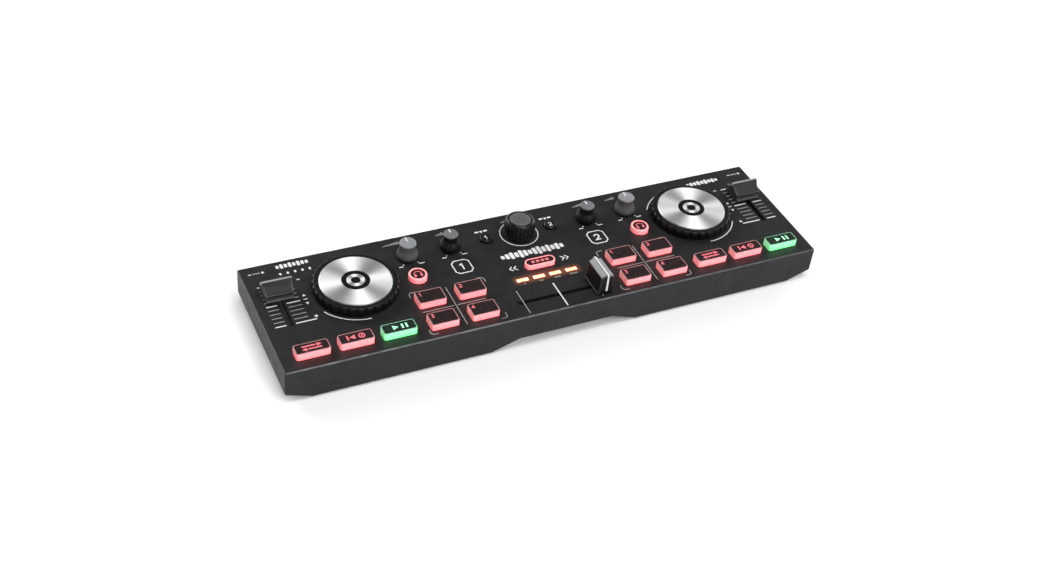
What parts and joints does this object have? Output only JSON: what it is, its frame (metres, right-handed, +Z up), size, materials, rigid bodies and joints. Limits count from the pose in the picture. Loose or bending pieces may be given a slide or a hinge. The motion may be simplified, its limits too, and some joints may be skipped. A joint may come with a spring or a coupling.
{
  "type": "dj controller",
  "caption": "Slim pocket DJ controller: aluminium jog wheels, lit pads and transport buttons, level knobs, a push browse knob, pitch faders and a crossfader.",
  "frame": {"origin": "on the table, under the middle of the casing: the centre of the bounding box's bottom face", "axes": "+X to the player's right along the casing, +Y to the back edge with the sockets, +Z up"},
  "size_m": [0.324, 0.0874, 0.0356],
  "materials": {
    "casing": "fine-textured charcoal moulded plastic",
    "base": "coarse-textured black moulded plastic",
    "rubber": "matt black rubber",
    "board": "green solder mask",
    "steel": "plain zinc-plated steel",
    "socket": "black moulded socket",
    "jog": "soft-touch black",
    "aluminium": "spun, with fine concentric lines",
    "lit_red": "translucent cap lit red from below, with a black top",
    "lit_green": "translucent cap lit green from below, with a black top",
    "lit_amber": "light pipe lit amber",
    "black": "satin black",
    "grey": "satin mid grey",
    "fader_cap": "satin black cap with a grey crown and a white line",
    "print": "pale grey screen print on the panel"
  },
  "bodies": {
    "case": {"top_housing": "casing", "bottom_plate": "base", "case_screw_1": "steel", "case_screw_2": "steel", "case_screw_3": "steel", "case_screw_4": "steel", "foot_1": "rubber", "foot_2": "rubber", "foot_3": "rubber", "foot_4": "rubber", "main_board": "board", "usb_socket": "steel", "headphone_jack": "socket", "master_jack": "socket", "deck1_jog_spindle": "steel", "deck2_jog_spindle": "steel", "bank_light_pipe": "lit_amber", "deck1_level_pot": "steel", "master_level_pot": "steel", "phones_level_pot": "steel", "deck2_level_pot": "steel", "browse_encoder": "steel", "deck1_pitch_fader": "steel", "deck2_pitch_fader": "steel", "crossfader_fader": "steel"},
    "deck1_jog": {"deck1_jog_wheel": "jog", "deck1_jog_plate": "aluminium"},
    "deck2_jog": {"deck2_jog_wheel": "jog", "deck2_jog_plate": "aluminium"},
    "deck1_pad_1": {"deck1_pad_1": "lit_red"},
    "deck1_pad_2": {"deck1_pad_2": "lit_red"},
    "deck1_pad_3": {"deck1_pad_3": "lit_red"},
    "deck1_pad_4": {"deck1_pad_4": "lit_red"},
    "deck1_sync_button": {"deck1_sync_button": "lit_red"},
    "deck1_cue_button": {"deck1_cue_button": "lit_red"},
    "deck1_play_button": {"deck1_play_button": "lit_green"},
    "deck1_phones_button": {"deck1_phones_button": "lit_red"},
    "deck1_load_button": {"deck1_load_button": "black"},
    "deck2_pad_1": {"deck2_pad_1": "lit_red"},
    "deck2_pad_2": {"deck2_pad_2": "lit_red"},
    "deck2_pad_3": {"deck2_pad_3": "lit_red"},
    "deck2_pad_4": {"deck2_pad_4": "lit_red"},
    "deck2_sync_button": {"deck2_sync_button": "lit_red"},
    "deck2_cue_button": {"deck2_cue_button": "lit_red"},
    "deck2_play_button": {"deck2_play_button": "lit_green"},
    "deck2_phones_button": {"deck2_phones_button": "lit_red"},
    "deck2_load_button": {"deck2_load_button": "black"},
    "pad_mode_button": {"pad_mode_button": "lit_red"},
    "deck1_level_knob": {"deck1_level_knob": "grey"},
    "master_level_knob": {"master_level_knob": "black"},
    "phones_level_knob": {"phones_level_knob": "black"},
    "deck2_level_knob": {"deck2_level_knob": "grey"},
    "browse_shaft": {"browse_shaft": "steel"},
    "browse_knob": {"browse_knob": "black"},
    "deck1_pitch": {"deck1_pitch_cap": "fader_cap", "deck1_pitch_lever": "steel"},
    "deck2_pitch": {"deck2_pitch_cap": "fader_cap", "deck2_pitch_lever": "steel"},
    "crossfader": {"crossfader_cap": "fader_cap", "crossfader_lever": "steel"}
  },
  "joints": [
    {"name": "deck1_jog_spin", "type": "hinge", "parent": "case", "child": "deck1_jog", "pos_m": [-0.1056, 0.0083, 0.0215], "axis": [0, 0, 1], "continuous": true},
    {"name": "deck2_jog_spin", "type": "hinge", "parent": "case", "child": "deck2_jog", "pos_m": [0.1056, 0.0083, 0.0215], "axis": [0, 0, 1], "continuous": true},
    {"name": "deck1_pad_1_press", "type": "slide", "parent": "case", "child": "deck1_pad_1", "axis": [0, 0, -1], "range_m": [0, 0.001], "stiffness_N_per_m": 900, "springref_m": -0.00067},
    {"name": "deck1_pad_2_press", "type": "slide", "parent": "case", "child": "deck1_pad_2", "axis": [0, 0, -1], "range_m": [0, 0.001], "stiffness_N_per_m": 900, "springref_m": -0.00067},
    {"name": "deck1_pad_3_press", "type": "slide", "parent": "case", "child": "deck1_pad_3", "axis": [0, 0, -1], "range_m": [0, 0.001], "stiffness_N_per_m": 900, "springref_m": -0.00067},
    {"name": "deck1_pad_4_press", "type": "slide", "parent": "case", "child": "deck1_pad_4", "axis": [0, 0, -1], "range_m": [0, 0.001], "stiffness_N_per_m": 900, "springref_m": -0.00067},
    {"name": "deck1_sync_press", "type": "slide", "parent": "case", "child": "deck1_sync_button", "axis": [0, 0, -1], "range_m": [0, 0.001], "stiffness_N_per_m": 900, "springref_m": -0.00067},
    {"name": "deck1_cue_press", "type": "slide", "parent": "case", "child": "deck1_cue_button", "axis": [0, 0, -1], "range_m": [0, 0.001], "stiffness_N_per_m": 900, "springref_m": -0.00067},
    {"name": "deck1_play_press", "type": "slide", "parent": "case", "child": "deck1_play_button", "axis": [0, 0, -1], "range_m": [0, 0.001], "stiffness_N_per_m": 900, "springref_m": -0.00067},
    {"name": "deck1_phones_press", "type": "slide", "parent": "case", "child": "deck1_phones_button", "axis": [0, 0, -1], "range_m": [0, 0.001], "stiffness_N_per_m": 900, "springref_m": -0.00067},
    {"name": "deck1_load_press", "type": "slide", "parent": "case", "child": "deck1_load_button", "axis": [0, 0, -1], "range_m": [0, 0.001], "stiffness_N_per_m": 900, "springref_m": -0.00067},
    {"name": "deck2_pad_1_press", "type": "slide", "parent": "case", "child": "deck2_pad_1", "axis": [0, 0, -1], "range_m": [0, 0.001], "stiffness_N_per_m": 900, "springref_m": -0.00067},
    {"name": "deck2_pad_2_press", "type": "slide", "parent": "case", "child": "deck2_pad_2", "axis": [0, 0, -1], "range_m": [0, 0.001], "stiffness_N_per_m": 900, "springref_m": -0.00067},
    {"name": "deck2_pad_3_press", "type": "slide", "parent": "case", "child": "deck2_pad_3", "axis": [0, 0, -1], "range_m": [0, 0.001], "stiffness_N_per_m": 900, "springref_m": -0.00067},
    {"name": "deck2_pad_4_press", "type": "slide", "parent": "case", "child": "deck2_pad_4", "axis": [0, 0, -1], "range_m": [0, 0.001], "stiffness_N_per_m": 900, "springref_m": -0.00067},
    {"name": "deck2_sync_press", "type": "slide", "parent": "case", "child": "deck2_sync_button", "axis": [0, 0, -1], "range_m": [0, 0.001], "stiffness_N_per_m": 900, "springref_m": -0.00067},
    {"name": "deck2_cue_press", "type": "slide", "parent": "case", "child": "deck2_cue_button", "axis": [0, 0, -1], "range_m": [0, 0.001], "stiffness_N_per_m": 900, "springref_m": -0.00067},
    {"name": "deck2_play_press", "type": "slide", "parent": "case", "child": "deck2_play_button", "axis": [0, 0, -1], "range_m": [0, 0.001], "stiffness_N_per_m": 900, "springref_m": -0.00067},
    {"name": "deck2_phones_press", "type": "slide", "parent": "case", "child": "deck2_phones_button", "axis": [0, 0, -1], "range_m": [0, 0.001], "stiffness_N_per_m": 900, "springref_m": -0.00067},
    {"name": "deck2_load_press", "type": "slide", "parent": "case", "child": "deck2_load_button", "axis": [0, 0, -1], "range_m": [0, 0.001], "stiffness_N_per_m": 900, "springref_m": -0.00067},
    {"name": "pad_mode_press", "type": "slide", "parent": "case", "child": "pad_mode_button", "axis": [0, 0, -1], "range_m": [0, 0.001], "stiffness_N_per_m": 900, "springref_m": -0.00067},
    {"name": "deck1_level_turn", "type": "hinge", "parent": "case", "child": "deck1_level_knob", "pos_m": [-0.0693, 0.0244, 0.0215], "axis": [0, 0, 1], "range_deg": [-140, 140]},
    {"name": "master_level_turn", "type": "hinge", "parent": "case", "child": "master_level_knob", "pos_m": [-0.0433, 0.0244, 0.0215], "axis": [0, 0, 1], "range_deg": [-140, 140]},
    {"name": "phones_level_turn", "type": "hinge", "parent": "case", "child": "phones_level_knob", "pos_m": [0.0433, 0.0244, 0.0215], "axis": [0, 0, 1], "range_deg": [-140, 140]},
    {"name": "deck2_level_turn", "type": "hinge", "parent": "case", "child": "deck2_level_knob", "pos_m": [0.0693, 0.0244, 0.0215], "axis": [0, 0, 1], "range_deg": [-140, 140]},
    {"name": "browse_press", "type": "slide", "parent": "case", "child": "browse_shaft", "axis": [0, 0, -1], "range_m": [0, 0.0006], "stiffness_N_per_m": 1500, "springref_m": -0.0006},
    {"name": "browse_turn", "type": "hinge", "parent": "browse_shaft", "child": "browse_knob", "pos_m": [0, 0.0244, 0.0215], "axis": [0, 0, 1], "continuous": true},
    {"name": "deck1_pitch_slide", "type": "slide", "parent": "case", "child": "deck1_pitch", "axis": [0, 1, 0], "range_m": [-0.0251, 0.0074]},
    {"name": "deck2_pitch_slide", "type": "slide", "parent": "case", "child": "deck2_pitch", "axis": [0, 1, 0], "range_m": [-0.0251, 0.0074]},
    {"name": "crossfader_slide", "type": "slide", "parent": "case", "child": "crossfader", "axis": [1, 0, 0], "range_m": [-0.0478, 0]}
  ]
}
